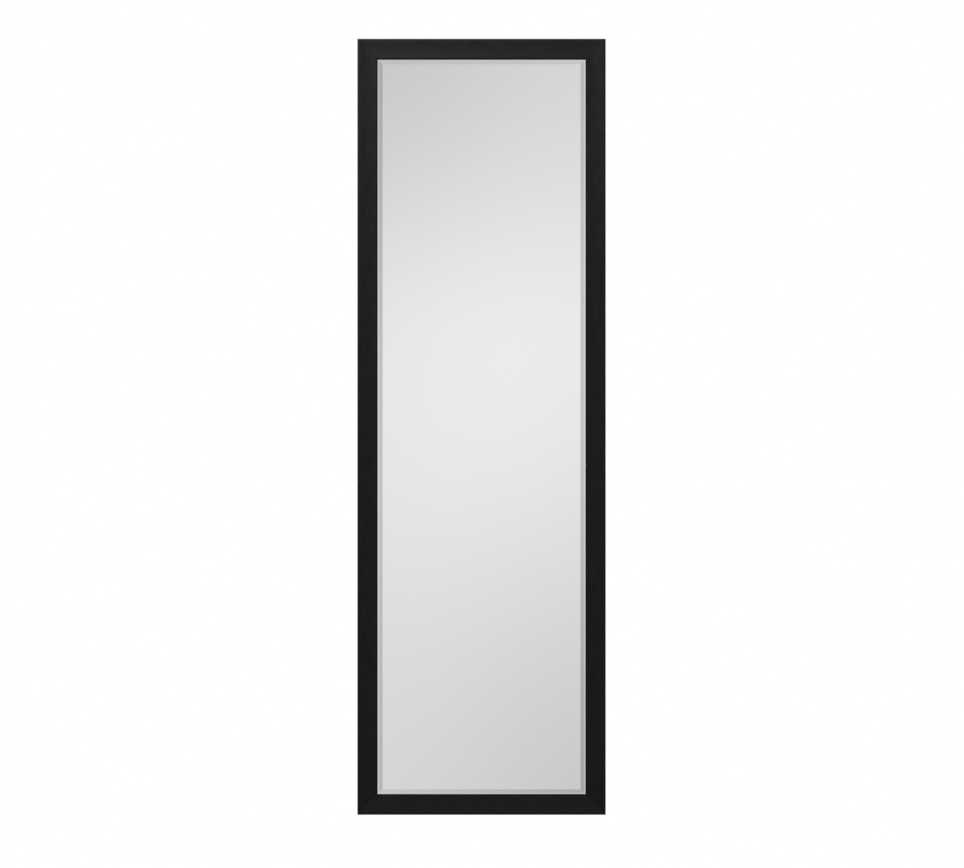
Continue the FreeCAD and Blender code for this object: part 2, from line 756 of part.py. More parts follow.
def build():
    nodes = {
        "frame_bottom_rail": frame_bar(mirror_width, mirror_height / 2, 0),
        "frame_left_stile": frame_bar(mirror_height, mirror_width / 2, 90),
        "frame_top_rail": frame_bar(mirror_width, mirror_height / 2, 180),
        "frame_right_stile": frame_bar(mirror_height, mirror_width / 2, 270),
        "corner_v_nails": corner_v_nails(),
        "mirror_glass": mirror_glass(),
        "cardboard_sheet": cardboard_sheet(),
        "backing_board": backing_board(),
        "backing_clips": backing_clips(),
        "hinge_plate_screws": hinge_plate_screws(),
        "hinge_bushes": hinge_bushes(),
        "carrier_post": carrier_post(),
        "carrier_screws": carrier_screws(),
        "pivot_bolts": pivot_bolts(),
        "lock_nuts": lock_nuts(),
        "rest_bumpers": rest_bumpers(),
        "slide_end_stops": end_stops(),
    }
    for level, side in (("lower", -1), ("upper", 1)):
        slide = side * slide_z
        nodes[level + "_hinge_plate"] = hinge_plate(side * pivot_z)
        nodes[level + "_pivot_bracket"] = pivot_bracket(side * pivot_z)
        nodes[level + "_rest_bracket"] = rest_bracket(slide)
        nodes[level + "_outer_member"] = outer_member(slide)
        nodes[level + "_middle_member"] = middle_member(slide)
        nodes[level + "_inner_member"] = inner_member(slide)
        nodes[level + "_outer_cage"] = outer_cage(slide)
        nodes[level + "_inner_cage"] = inner_cage(slide)
        nodes[level + "_outer_balls"] = balls(outer_ball, slide)
        nodes[level + "_inner_balls"] = balls(inner_ball, slide)
    return nodes


os.makedirs("parts", exist_ok=True)
for name, shape in build().items():
    shape.exportStep("parts/" + name + ".step")
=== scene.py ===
import json
import math

import bmesh
import bpy
from mathutils import Matrix, Vector

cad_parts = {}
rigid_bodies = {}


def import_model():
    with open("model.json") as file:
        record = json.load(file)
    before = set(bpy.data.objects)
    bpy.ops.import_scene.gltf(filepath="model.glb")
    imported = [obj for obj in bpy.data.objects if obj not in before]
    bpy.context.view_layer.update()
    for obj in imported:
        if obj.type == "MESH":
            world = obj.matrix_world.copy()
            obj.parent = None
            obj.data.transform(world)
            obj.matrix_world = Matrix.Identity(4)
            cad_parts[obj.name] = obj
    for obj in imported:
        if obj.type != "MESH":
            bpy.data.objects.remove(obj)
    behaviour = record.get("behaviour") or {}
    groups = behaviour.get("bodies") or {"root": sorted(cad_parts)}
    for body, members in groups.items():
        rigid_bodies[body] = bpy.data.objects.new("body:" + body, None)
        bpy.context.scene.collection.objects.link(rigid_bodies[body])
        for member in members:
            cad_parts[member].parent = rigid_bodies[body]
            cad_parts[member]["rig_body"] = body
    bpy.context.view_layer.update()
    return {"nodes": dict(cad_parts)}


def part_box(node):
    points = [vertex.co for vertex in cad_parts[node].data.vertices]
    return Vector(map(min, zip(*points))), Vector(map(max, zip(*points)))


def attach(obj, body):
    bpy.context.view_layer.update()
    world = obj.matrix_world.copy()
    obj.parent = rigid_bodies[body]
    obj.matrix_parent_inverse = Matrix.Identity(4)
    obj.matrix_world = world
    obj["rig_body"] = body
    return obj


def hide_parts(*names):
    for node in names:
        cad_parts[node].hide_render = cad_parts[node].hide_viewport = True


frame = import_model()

# Pull-out closet mirror: looks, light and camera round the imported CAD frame.
# Metres, in the frame's own axes: the mirror faces -Y, +Z is up, and it pulls out along +X.

mm = 0.001

# ---------------------------------------------------------------- places read from the frame

left_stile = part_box("frame_left_stile")
right_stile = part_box("frame_right_stile")
mirror_left = left_stile[0].x
mirror_right = right_stile[1].x
mirror_front = left_stile[0].y
mirror_back = left_stile[1].y
half_width = (mirror_right - mirror_left) / 2
half_height = left_stile[1].z
mirror_x = (mirror_left + mirror_right) / 2
face_width = left_stile[1].x - left_stile[0].x
frame_depth = mirror_back - mirror_front

# ---------------------------------------------------------------- sizes of what is modelled here

# Moulding, as (inset from the outer edge, depth from the front, rounding radius)
lip_depth = 6.5 * mm
rebate_inset = face_width - 5.0 * mm
moulding = [(0, frame_depth, 0.4 * mm), (0, 0, 1.5 * mm), (3.5 * mm, 0, 25 * mm),
            (18 * mm, 1.2 * mm, 200 * mm), (face_width, 1.0 * mm, 0.6 * mm),
            (face_width, lip_depth, 0), (rebate_inset, lip_depth, 0),
            (rebate_inset, frame_depth, 0.5 * mm)]
mitre_groove = 0.3 * mm
lip_edge = frame_depth + face_width   # length round the section to the lip's edge, nearly
dull_shade_from = lip_edge - 2.2 * mm       # where the lacquer starts to turn rougher and, with painted shade, darker toward the lip's edge, and where it is
dull_shade_to = lip_edge - 1.6 * mm
hair = 0.01 * mm                      # what counts as the same place

# Bevelled glass
bevel_width = 12.7 * mm
bevel_angle = math.radians(8)
land_width = 6.6 * mm
land_angle = math.radians(2)
arris_round = 5 * mm
rim_round = 0.4 * mm

# Screws, bolts and nuts
clip_screw_inset = 7 * mm     # from the board's edge to a clip's screw
clip_screw_radius = 3.2 * mm
clip_screw_height = 1.7 * mm
clip_screw_turn = 0.7         # from each screw's recess to the next one's, in radians
thread_pitch = 1.0 * mm
thread_depth = 0.5 * mm
bolt_flats = 10 * mm
bolt_head = 4 * mm
bolt_radius = 3 * mm
bolt_thread = 15 * mm
shank_overlap = 0.2 * mm      # into the thread and the head
nut_bore = 3.05 * mm
nut_lining = 3.6 * mm         # outer radius of the nylon ring
nut_collar = 4.65 * mm        # outer radius of the collar round it
nut_collar_height = 1.6 * mm
wood_screw_flats = 8 * mm
wood_screw_head = 3.4 * mm
wood_screw_radius = 2.5 * mm

# Welds, rivets and end stops
bead_reach = 13 * mm          # to both sides of a bracket's middle
bead_ripple = 1.1 * mm
front_bead_radius = 1.7 * mm
back_bead_radius = 1.5 * mm
back_bead_inset = (0.6 * mm, 0.9 * mm)
rest_sheet = 2.0 * mm
rivet_radius = 2.6 * mm
rivet_height = 1.1 * mm
rivet_inset = 10 * mm         # from the bracket's outer end
rivet_offset = 6 * mm         # from its middle line
stop_wall = 1.8 * mm          # in front of the slot in an end stop
stop_slot = 1.2 * mm
stop_slot_inset = 6 * mm

# Photograph, in its own pixels
photo_size = (964, 868)
seen_left = 357.2
seen_right = 605.9
seen_top = 39.15
seen_bottom = 814.5
camera_distance = 4.0
sensor_width = 36.0

# Studio
floor_z = -1.3
floor_radius = 2.7
upright = 0.148               # how steeply the mirror's flat shows the studio at its upper end, and
sideways = 0.0425             # how far aside at its sides, as parts of a direction of length 1
silvering = 0.945             # part of the light that the mirror gives back
white = (1.0, 1.0, 1.0, 1.0)


# ---------------------------------------------------------------- nodes

class Nodes:
    """Short ways to add nodes to a tree and join them."""

    def __init__(self, tree):
        self.tree = tree

    def join(self, value, socket):
        if isinstance(value, bpy.types.NodeSocket):
            self.tree.links.new(value, socket)
        else:
            socket.default_value = value

    def add(self, kind, inputs=None, **settings):
        node = self.tree.nodes.new("ShaderNode" + kind)
        for name, value in settings.items():
            setattr(node, name, value)
        for name, value in (inputs or {}).items():
            self.join(value, node.inputs[name])
        return node

    def math(self, operation, *values):
        node = self.add("Math", operation=operation)
        for i, value in enumerate(values):
            self.join(value, node.inputs[i])
        return node.outputs[0]

    def product(self, first, *others):
        for value in others:
            first = self.math("MULTIPLY", first, value)
        return first

    def total(self, first, *others):
        for value in others:
            first = self.math("ADD", first, value)
        return first

    def spread(self, value, low, high, new_low, new_high):
        """value eased from the range low..high to new_low..new_high, and kept inside it."""
        inputs = {"Value": value, "From Min": low, "From Max": high, "To Min": new_low, "To Max": new_high}
        return self.add("MapRange", inputs, interpolation_type="SMOOTHSTEP").outputs["Result"]

    def bell(self, value, middle, width):
        """1 where value is middle, falling off smoothly to both sides."""
        away = self.math("DIVIDE", self.math("SUBTRACT", value, middle), width)
        return self.math("EXPONENT", self.product(away, away, -1.0))

    def mix(self, factor, first, second):
        """Colour between the first and the second."""
        node = self.add("Mix", data_type="RGBA")
        self.join(factor, node.inputs[0])
        self.join(first, node.inputs[6])
        self.join(second, node.inputs[7])
        return node.outputs[2]

    def blend(self, factor, first, second):
        """Number between the first and the second."""
        node = self.add("Mix", data_type="FLOAT")
        self.join(factor, node.inputs[0])
        self.join(first, node.inputs[2])
        self.join(second, node.inputs[3])
        return node.outputs[0]

    def noise(self, place, stretch, detail=3.0, roughness=0.5):
        """Cloudy pattern with stretch blotches per metre along each axis."""
        stretched = self.add("Mapping", {"Vector": place, "Scale": stretch})
        inputs = {"Vector": stretched.outputs[0], "Scale": 1.0, "Detail": detail, "Roughness": roughness}
        return self.add("TexNoise", inputs).outputs[0]

    def axes(self, vector):
        return self.add("SeparateXYZ", {"Vector": vector}).outputs

    def ray_kinds(self):
        """Whether a ray is the camera's own, and whether it comes by way of something shiny or clear."""
        path = self.add("LightPath").outputs
        mirrored = self.math("MAXIMUM", path["Is Glossy Ray"], path["Is Transmission Ray"])
        return path["Is Camera Ray"], mirrored


class Surface(Nodes):
    """A material under construction. Its patterns lie in the piece's own coordinates."""

    def __init__(self, name, uv=False):
        self.material = bpy.data.materials.new(name)
        self.material.use_nodes = True
        super().__init__(self.material.node_tree)
        self.shader = self.tree.nodes["Principled BSDF"]
        if uv:
            self.place = self.add("UVMap", uv_map=bar_uv).outputs[0]
        else:
            self.place = self.add("TexCoord").outputs["Object"]

    def set(self, **values):
        for name, value in values.items():
            self.join(value, self.shader.inputs[name.replace("_", " ")])

    def bump(self, height, distance):
        node = self.add("Bump", {"Height": height, "Distance": distance, "Strength": 1.0})
        self.join(node.outputs[0], self.shader.inputs["Normal"])


def grey(value):
    return (value, value, value, 1.0)


# ---------------------------------------------------------------- materials

bar_uv = "bar"     # UV map of a bar: metres along it, and metres round its section


def lacquer(name, dark, light):
    """Satin black lacquer over open-pored wood, a little uneven, rougher along the lip and darkened there
    with painted shade.
    """
    s = Surface(name, uv=True)
    mottle = s.noise(s.place, (45, 90, 1), detail=4)
    grain = s.noise(s.place, (28, 1100, 1), detail=3, roughness=0.6)
    pores = s.noise(s.place, (160, 2600, 1), detail=2)
    cloud = s.total(s.product(mottle, 0.4), s.product(grain, 0.6))
    # painted shade: toward the lip's edge the lacquer turns near black, standing in for the shaded gap to
    # the glass; it also turns rougher
    dull_painted_shade = s.spread(s.axes(s.place)[1], dull_shade_from, dull_shade_to, 0, 1)
    tone = s.mix(s.spread(cloud, 0.35, 0.65, 0, 1), grey(dark), grey(light))
    satin = s.spread(cloud, 0.3, 0.7, 0.37, 0.43)
    s.set(Base_Color=s.mix(dull_painted_shade, tone, grey(0.0005)), Specular_IOR_Level=0.128,
          Roughness=s.total(satin, s.product(dull_painted_shade, 0.4)))
    s.bump(s.total(pores, s.product(grain, 2.0)), 0.00002)
    return s.material


def raw_wood():
    """Planed pale wood at the back of the frame, with black overspray along its outer edge."""
    s = Surface("raw_wood", uv=True)
    rings = s.noise(s.place, (3.5, 160, 1), detail=5, roughness=0.6)
    fibre = s.noise(s.place, (40, 3000, 1), detail=3)
    wood = s.mix(s.spread(rings, 0.35, 0.68, 0, 1), (0.56, 0.39, 0.23, 1), (0.38, 0.235, 0.12, 1))
    wood = s.mix(s.spread(fibre, 0.4, 0.75, 0, 0.5), wood, (0.30, 0.18, 0.09, 1))
    drift = s.product(s.noise(s.place, (60, 500, 1), detail=4), 6 * mm)
    sprayed = s.spread(s.total(s.axes(s.place)[1], drift), 3 * mm, 8 * mm, 1, 0)
    s.set(Base_Color=s.mix(sprayed, wood, grey(0.012)), Roughness=s.spread(fibre, 0.3, 0.7, 0.55, 0.75))
    s.bump(fibre, 0.00008)
    return s.material


def mirror():
    """Silvered glass."""
    s = Surface("mirror_glass")
    haze = s.noise(s.place, (3, 3, 3), detail=2)
    s.set(Base_Color=s.mix(haze, (0.94, 0.942, 0.946, 1), (0.942, 0.946, 0.95, 1)), Metallic=1.0,
          Roughness=s.spread(haze, 0.35, 0.65, 0.004, 0.012))
    return s.material


def hardboard():
    """Pressed fibreboard, brown, with lighter and darker fibres."""
    s = Surface("backing_board")
    cloud = s.noise(s.place, (14, 14, 14), detail=5)
    pulp = s.noise(s.place, (700, 700, 700), detail=4, roughness=0.7)
    upright_fibres = s.noise(s.place, (1500, 1500, 260), detail=3, roughness=0.6)
    level_fibres = s.noise(s.place, (260, 1500, 1500), detail=3, roughness=0.6)
    fibres = s.math("MAXIMUM", upright_fibres, level_fibres)
    tone = s.mix(s.spread(cloud, 0.35, 0.65, 0, 1), (0.27, 0.162, 0.088, 1), (0.31, 0.19, 0.106, 1))
    tone = s.mix(s.spread(pulp, 0.35, 0.7, 0, 0.5), tone, (0.19, 0.108, 0.055, 1))
    tone = s.mix(s.spread(fibres, 0.6, 0.72, 0, 0.6), tone, (0.42, 0.28, 0.165, 1))
    tone = s.mix(s.spread(fibres, 0.47, 0.38, 0, 0.7), tone, (0.12, 0.065, 0.032, 1))
    s.set(Base_Color=tone, Roughness=s.spread(pulp, 0.3, 0.7, 0.5, 0.7))
    s.bump(fibres, 0.00005)
    return s.material


def cardboard():
    """Grey-brown cardboard."""
    s = Surface("cardboard")
    fibre = s.noise(s.place, (300, 300, 900), detail=4)
    s.set(Base_Color=s.mix(fibre, (0.36, 0.26, 0.16, 1), (0.46, 0.35, 0.23, 1)), Roughness=0.85)
    s.bump(fibre, 0.00005)
    return s.material


def zinc():
    """Bright zinc plating with a faint cloudy bloom."""
    s = Surface("zinc_steel")
    bloom = s.noise(s.place, (420, 420, 420), detail=5, roughness=0.6)
    fine = s.noise(s.place, (2600, 2600, 2600), detail=2)
    s.set(Base_Color=s.mix(s.spread(bloom, 0.3, 0.7, 0, 1), (0.47, 0.49, 0.52, 1), (0.56, 0.57, 0.56, 1)),
          Metallic=1.0, Roughness=s.spread(bloom, 0.3, 0.7, 0.3, 0.38))
    s.bump(fine, 0.000006)
    return s.material


def rolled(name, dark, light, rough_low, rough_high):
    """Plated strip with faint rolling streaks along X, rougher where it is darker."""
    s = Surface(name)
    streaks = s.noise(s.place, (9, 1900, 1900), detail=4, roughness=0.6)
    bloom = s.noise(s.place, (60, 110, 110), detail=3)
    tone = s.total(s.product(streaks, 0.75), s.product(bloom, 0.25))
    s.set(Base_Color=s.mix(s.spread(tone, 0.32, 0.68, 0, 1), dark, light), Metallic=1.0,
          Roughness=s.spread(tone, 0.32, 0.68, rough_high, rough_low))
    s.bump(streaks, 0.00001)
    return s.material


def polished():
    """Ball-bearing steel with a thin film of grease."""
    s = Surface("ball_steel")
    film = s.noise(s.place, (900, 900, 900), detail=3)
    s.set(Base_Color=s.mix(film, (0.62, 0.61, 0.58, 1), (0.74, 0.74, 0.73, 1)), Metallic=1.0,
          Roughness=s.spread(film, 0.3, 0.7, 0.05, 0.16))
    return s.material


def powder_coat():
    """Fine-textured black powder coat."""
    s = Surface("black_powder_coat")
    peel = s.noise(s.place, (1100, 1100, 1100), detail=3, roughness=0.6)
    cloud = s.noise(s.place, (30, 30, 30), detail=3)
    s.set(Base_Color=s.mix(cloud, grey(0.014), grey(0.024)), Roughness=s.spread(peel, 0.3, 0.7, 0.42, 0.58))
    s.bump(peel, 0.00006)
    return s.material


def nylon():
    """Natural nylon, slightly cloudy."""
    s = Surface("nylon")
    cloud = s.noise(s.place, (300, 300, 300), detail=3)
    s.set(Base_Color=s.mix(cloud, (0.68, 0.66, 0.59, 1), (0.76, 0.74, 0.68, 1)),
          Roughness=s.spread(cloud, 0.3, 0.7, 0.38, 0.5), Subsurface_Weight=0.2,
          Subsurface_Radius=(0.002, 0.0018, 0.0014), Subsurface_Scale=1.0)
    s.bump(cloud, 0.00003)
    return s.material


def rubber():
    """Black rubber with a dusty bloom."""
    s = Surface("rubber")
    bloom = s.noise(s.place, (350, 350, 350), detail=4)
    s.set(Base_Color=s.mix(s.spread(bloom, 0.35, 0.7, 0, 1), grey(0.012), grey(0.03)),
          Roughness=s.spread(bloom, 0.3, 0.7, 0.62, 0.82))
    s.bump(bloom, 0.00005)
    return s.material


finish = {
    # Stiles and rails get two copies of one lacquer; the rails' copy is lighter, a painted sheen.
    "frame_lacquer": lacquer("frame_lacquer", 0.0016, 0.0038),
    "rail_lacquer_painted_sheen": lacquer("rail_lacquer_painted_sheen", 0.0034, 0.0056),   # painted sheen: a lighter copy of the stiles' lacquer, for the light that the rails catch
    "raw_wood": raw_wood(),
    "mirror_glass": mirror(),
    "backing_board": hardboard(),
    "cardboard": cardboard(),
    "zinc_steel": zinc(),
    "slide_steel": rolled("slide_steel", (0.40, 0.42, 0.45, 1), (0.56, 0.57, 0.58, 1), 0.24, 0.38),
    "cage_steel": rolled("cage_steel", (0.33, 0.33, 0.32, 1), (0.46, 0.46, 0.44, 1), 0.3, 0.45),
    "ball_steel": polished(),
    "black_powder_coat": powder_coat(),
    "nylon": nylon(),
    "rubber": rubber(),
}


# ---------------------------------------------------------------- shapes, as (points, faces)

def band(count, first, second):
    """Faces between two rings of count points, from the places of their first points."""
    after = [(i + 1) % count for i in range(count)]
    return [(first + i, first + j, second + j, second + i) for i, j in enumerate(after)]


def skin(rings):
    """Closed skin over a row of rings with equally many points."""
    count = len(rings[0])
    last = (len(rings) - 1) * count
    faces = [tuple(reversed(range(count)))]
    for start in range(0, last, count):
        faces += band(count, start, start + count)
    faces.append(tuple(range(last, last + count)))
    return [tuple(p) for ring in rings for p in ring], faces


def loop_skin(rings):
    """Skin over a closed row of rings, as round a nut's bore."""
    count = len(rings[0])
    faces = []
    for k in range(len(rings)):
        faces += band(count, k * count, (k + 1) % len(rings) * count)
    return [tuple(p) for ring in rings for p in ring], faces


def turns(steps):
    """Angles of equal steps once round."""
    return [2 * math.pi * i / steps for i in range(steps)]


def circle(radius, z, steps):
    """Level ring of points about Z."""
    return [(radius * math.cos(a), radius * math.sin(a), z) for a in turns(steps)]


def turned(profile, steps=32):
    """Solid of revolution about Z, from its (radius, height) points."""
    return skin([circle(r, z, steps) for r, z in profile])


def turned_ring(profile, steps=40):
    """Ring about Z from the closed (radius, height) outline of its section."""
    return loop_skin([circle(r, z, steps) for r, z in profile])


def hexagon(flats, crown, z, slope, steps):
    """Ring along a hexagon. It has the height z at the crown's radius, and the slope outward."""
    sixth = math.pi / 3
    ring = []
    for a in turns(steps):
        reach = flats / 2 / math.cos(a % sixth - sixth / 2)
        ring.append((reach * math.cos(a), reach * math.sin(a), z + slope * (reach - crown)))
    return ring


def hexagon_head(flats, height, bore=0.0):
    """Hexagon with chamfered corners, its seat at z = 0. A bore leaves its middle open."""
    steps = 72
    crown = 0.475 * flats      # radius inside its chamfer
    chamfer = math.tan(math.radians(30))
    rings = [circle(crown, 0, steps), hexagon(flats, crown, 0, 0.4 * chamfer, steps),
             hexagon(flats, crown, height, -chamfer, steps), circle(crown, height, steps)]
    if bore:
        return loop_skin([circle(bore, 0, steps)] + rings + [circle(bore, height, steps)])
    return skin(rings)


def threaded(radius, length):
    """Screw thread about Z, from z = 0 down to -length, with a chamfered end."""
    steps = 24
    rows = 8      # in each turn of the thread
    rings = []
    for k in range(int(length / thread_pitch * rows) + 1):
        z = -k * thread_pitch / rows
        taper = max(0.0, 1 - (length + z) / thread_pitch) * thread_depth
        ring = []
        for i, a in enumerate(turns(steps)):
            phase = (k / rows + i / steps) % 1.0
            r = radius - max(thread_depth * abs(2 * phase - 1), taper)
            ring.append((r * math.cos(a), r * math.sin(a), z))
        rings.append(ring)
    return skin(rings)


def rounded(corners, closed=True):
    """Points of an outline of (a, b, radius) corners, its rounded corners drawn as arcs."""
    points = []
    count = len(corners)
    for i, (a, b, radius) in enumerate(corners):
        here = Vector((a, b))
        if radius == 0 or (not closed and i in (0, count - 1)):
            points.append(here)
            continue
        before = (Vector(corners[i - 1][:2]) - here).normalized()
        after = (Vector(corners[(i + 1) % count][:2]) - here).normalized()
        half = before.angle(after) / 2
        middle = here + (before + after).normalized() * (radius / math.sin(half))
        start = here + before * (radius / math.tan(half)) - middle
        end = here + after * (radius / math.tan(half)) - middle
        turn = start.angle_signed(end)
        steps = max(3, math.ceil(abs(turn) / math.radians(10)))
        for k in range(steps + 1):
            points.append(middle + Matrix.Rotation(-turn * k / steps, 2) @ start)
    return points


def placed(shape, matrix):
    points, faces = shape
    return [tuple(matrix @ Vector(p)) for p in points], faces


def moved(shape, place):
    return placed(shape, Matrix.Translation(place))


def facing(axis, place):
    """Matrix that turns +Z to the axis and moves the origin to the place."""
    return Matrix.Translation(place) @ Vector(axis).to_track_quat("Z", "Y").to_matrix().to_4x4()


def joined(shapes):
    points = []
    faces = []
    for more_points, more_faces in shapes:
        start = len(points)
        points += more_points
        faces += [tuple(start + i for i in face) for face in more_faces]
    return points, faces


# ---------------------------------------------------------------- pieces

def show(name, mesh, body, slot, replaced=(), sharp=35):
    """Adds a piece with its finish, on its body, in place of CAD nodes."""
    if not mesh.materials:
        mesh.materials.append(finish[slot])
    mesh.shade_smooth()
    mesh.set_sharp_from_angle(angle=math.radians(sharp))
    item = bpy.data.objects.new(name, mesh)
    bpy.context.scene.collection.objects.link(item)
    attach(item, body)
    if replaced:
        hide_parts(*replaced)
    return item


def face_outward(mesh):
    edit = bmesh.new()
    edit.from_mesh(mesh)
    bmesh.ops.recalc_face_normals(edit, faces=edit.faces)
    edit.to_mesh(mesh)
    edit.free()


def mesh_of(name, shapes):
    """Mesh of several shapes, its normals outward."""
    points, faces = joined(shapes)
    mesh = bpy.data.meshes.new(name)
    mesh.from_pydata(points, [], faces)
    face_outward(mesh)
    return mesh


def piece(name, shapes, body, slot, replaced=(), sharp=35):
    return show(name, mesh_of(name, shapes), body, slot, replaced, sharp)


def cut(mesh, cutter):
    """Shape of a mesh with another taken out of it."""
    shown = bpy.context.scene.collection.objects
    body = bpy.data.objects.new("cut_body", mesh)
    tool = bpy.data.objects.new("cut_tool", cutter)
    shown.link(body)
    shown.link(tool)
    modifier = body.modifiers.new("cut", "BOOLEAN")
    modifier.operation = "DIFFERENCE"
    modifier.object = tool
    modifier.solver = "EXACT"
    ready = body.evaluated_get(bpy.context.evaluated_depsgraph_get()).to_mesh()
    shape = ([tuple(v.co) for v in ready.vertices], [tuple(p.vertices) for p in ready.polygons])
    bpy.data.objects.remove(body)
    bpy.data.objects.remove(tool)
    return shape


def merged(node):
    """The CAD node's mesh for editing, its split corners joined and its flats whole."""
    edit = bmesh.new()
    edit.from_mesh(frame["nodes"][node].data)
    bmesh.ops.remove_doubles(edit, verts=edit.verts, dist=0.1 * hair)
    bmesh.ops.dissolve_limit(edit, angle_limit=math.radians(0.5), verts=edit.verts, edges=edit.edges)
    return edit


def body_of(node):
    return frame["nodes"][node]["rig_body"]


def solids_of(node):
    """Lowest and highest corner of each separate solid in a CAD node."""
    edit = merged(node)
    left = set(edit.verts)
    found = []
    while left:
        group = {left.pop()}
        reached = list(group)
        while reached:
            for edge in reached.pop().link_edges:
                for vert in edge.verts:
                    if vert in left:
                        left.discard(vert)
                        group.add(vert)
                        reached.append(vert)
        low = Vector([min(v.co[i] for v in group) for i in range(3)])
        high = Vector([max(v.co[i] for v in group) for i in range(3)])
        found.append((low, high))
    edit.free()
    return sorted(found, key=lambda box: tuple(round(x, 5) for x in box[0]))


def ease(item, edge):
    """Rounds a piece's sharp edges."""
    bevel = item.modifiers.new("edges", "BEVEL")
    bevel.width = edge
    bevel.segments = 2
    bevel.limit_method = "ANGLE"
    bevel.angle_limit = math.radians(40)
    item.modifiers.new("normals", "WEIGHTED_NORMAL").keep_sharp = True


def softened(node, slot, edge, back=None):
    """Copy of a CAD node with its sharp edges rounded, and its rearmost face brought to back."""
    edit = merged(node)
    if back is not None:
        rear = max(v.co.y for v in edit.verts)
        for vert in edit.verts:
            if vert.co.y > rear - hair:
                vert.co.y = back
    mesh = bpy.data.meshes.new(node + "_finished")
    edit.to_mesh(mesh)
    edit.free()
    ease(show(node + "_finished", mesh, body_of(node), slot, [node]), edge)


# ---------------------------------------------------------------- frame and glass

def inward(outline):
    """Unit vectors that point into a closed outline from each of its points."""
    count = len(outline)
    area = sum(outline[i - 1].cross(outline[i]) for i in range(count))
    turn = Matrix.Rotation(math.copysign(math.pi / 2, area), 2)
    return [turn @ (outline[(i + 1) % count] - outline[i - 1]).normalized() for i in range(count)]


def bar_rings(half_length, outline):
    """Rings of a mitred bar along X. The edges of its mitres are eased into a fine groove."""
    eased = [(mitre_groove, 0.0), (0.3 * mitre_groove, 0.3 * mitre_groove), (0.0, mitre_groove)]
    normals = inward(outline)
    rings = []
    for end, steps in ((-1, eased), (1, eased[::-1])):
        for shrink, back in steps:
            ring = []
            for point, normal in zip(outline, normals):
                inset, depth = point + normal * shrink
                ring.append((end * (half_length - inset - back), depth, inset))
            rings.append(ring)
    return rings


def is_bare(place):
    """Whether a face of the moulding is unpainted: behind the lip, and not the outer side."""
    edge = 10 * hair
    return edge < place.x < face_width - edge and place.y > lip_depth - hair


def bar_uvs(mesh, outline):
    """Lays the UV map along the bar and round its section, and gives the bare faces their wood."""
    layer = mesh.uv_layers.new(name=bar_uv)
    count = len(outline)
    around = [0.0]
    for i in range(count):
        around.append(around[-1] + (outline[(i + 1) % count] - outline[i]).length)
    for face in mesh.polygons:
        steps = sorted({v % count for v in face.vertices})
        closes = steps == [0, count - 1]
        bare = is_bare(sum((outline[i] for i in steps), Vector((0, 0))) / len(steps))
        face.material_index = 1 if bare else 0
        for loop in face.loop_indices:
            vertex = mesh.loops[loop].vertex_index
            step = vertex % count
            if bare:
                v = outline[step].x
            else:
                v = around[count] if closes and step == 0 else around[step]
            layer.data[loop].uv = (mesh.vertices[vertex].co.x, v)


def frame_bar(name, length, from_middle, turn, coat):
    """One bar of the frame, made as the bottom rail and then turned about the middle."""
    outline = rounded(moulding)
    points, faces = skin(bar_rings(length / 2, outline))
    mesh = bpy.data.meshes.new(name + "_moulding")
    mesh.from_pydata(points, [], faces)
    bar_uvs(mesh, outline)
    mesh.materials.append(finish[coat])
    mesh.materials.append(finish["raw_wood"])
    face_outward(mesh)
    turned_about = Matrix.Translation((mirror_x, 0, 0)) @ Matrix.Rotation(math.radians(turn), 4, "Y")
    mesh.transform(turned_about @ Matrix.Translation((0, mirror_front, -from_middle)))
    show(name + "_moulding", mesh, "mirror", "frame_lacquer", [name], sharp=25)


def glass():
    """Mirror plate with its flat, bevel and flatter rim, each arris slightly rounded."""
    low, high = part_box("mirror_glass")
    land_y = low.y + (bevel_width - land_width) * math.tan(bevel_angle)
    rim_y = land_y + land_width * math.tan(land_angle)
    inside = 20 * mm
    profile = rounded([(inside, high.y, 0), (0, high.y, rim_round), (0, rim_y, rim_round),
                       (land_width, land_y, arris_round), (bevel_width, low.y, arris_round),
                       (2 * bevel_width, low.y, 0)], closed=False)
    middle = (low + high) / 2
    half = (high - low) / 2
    rings = []
    for inset, y in profile:
        left = middle.x - half.x + inset
        right = middle.x + half.x - inset
        top = half.z - inset
        rings.append([(left, y, -top), (right, y, -top), (right, y, top), (left, y, top)])
    piece("mirror_glass_plate", [skin(rings)], "mirror", "mirror_glass", ["mirror_glass"], sharp=0.5)


# ---------------------------------------------------------------- fixings

def pan_head():
    """Pan-head screw with a cross recess, its seat at z = 0."""
    r = clip_screw_radius
    h = clip_screw_height
    crown = [(r * 0.97, 0), (r, 0.08 * h), (r, 0.35 * h), (0.95 * r, 0.62 * h), (0.82 * r, 0.82 * h),
             (0.6 * r, 0.94 * h), (0.3 * r, h), (0.02 * r, h)]
    arm = 0.55 * r
    wing = 0.14 * r
    cross = [(arm, wing), (wing, wing), (wing, arm), (-wing, arm), (-wing, wing), (-arm, wing),
             (-arm, -wing), (-wing, -wing), (-wing, -arm), (wing, -arm), (wing, -wing), (arm, -wing)]
    bottom = [(0.6 * a, 0.6 * b, 0.3 * h) for a, b in cross]
    mouth = [(1.1 * a, 1.1 * b, 1.2 * h) for a, b in cross]
    return cut(mesh_of("pan_head", [turned(crown, 40)]), mesh_of("cross_recess", [skin([bottom, mouth])]))


def clip_screws():
    """Screw in the wood's half of each backing clip."""
    screw = pan_head()
    shapes = []
    for i, (low, high) in enumerate(solids_of("backing_clips")):
        middle = (low + high) / 2
        along_x = high.x - low.x > high.z - low.z
        out = Vector((math.copysign(1, middle.x - mirror_x), 0, 0) if along_x
                     else (0, 0, math.copysign(1, middle.z)))
        seat = Vector((middle.x, high.y, middle.z)) + out * clip_screw_inset
        turn = Matrix.Rotation(clip_screw_turn * i, 4, "Z")
        shapes.append(placed(screw, facing((0, 1, 0), seat) @ turn))
    piece("backing_clip_screws", shapes, "mirror", "zinc_steel")


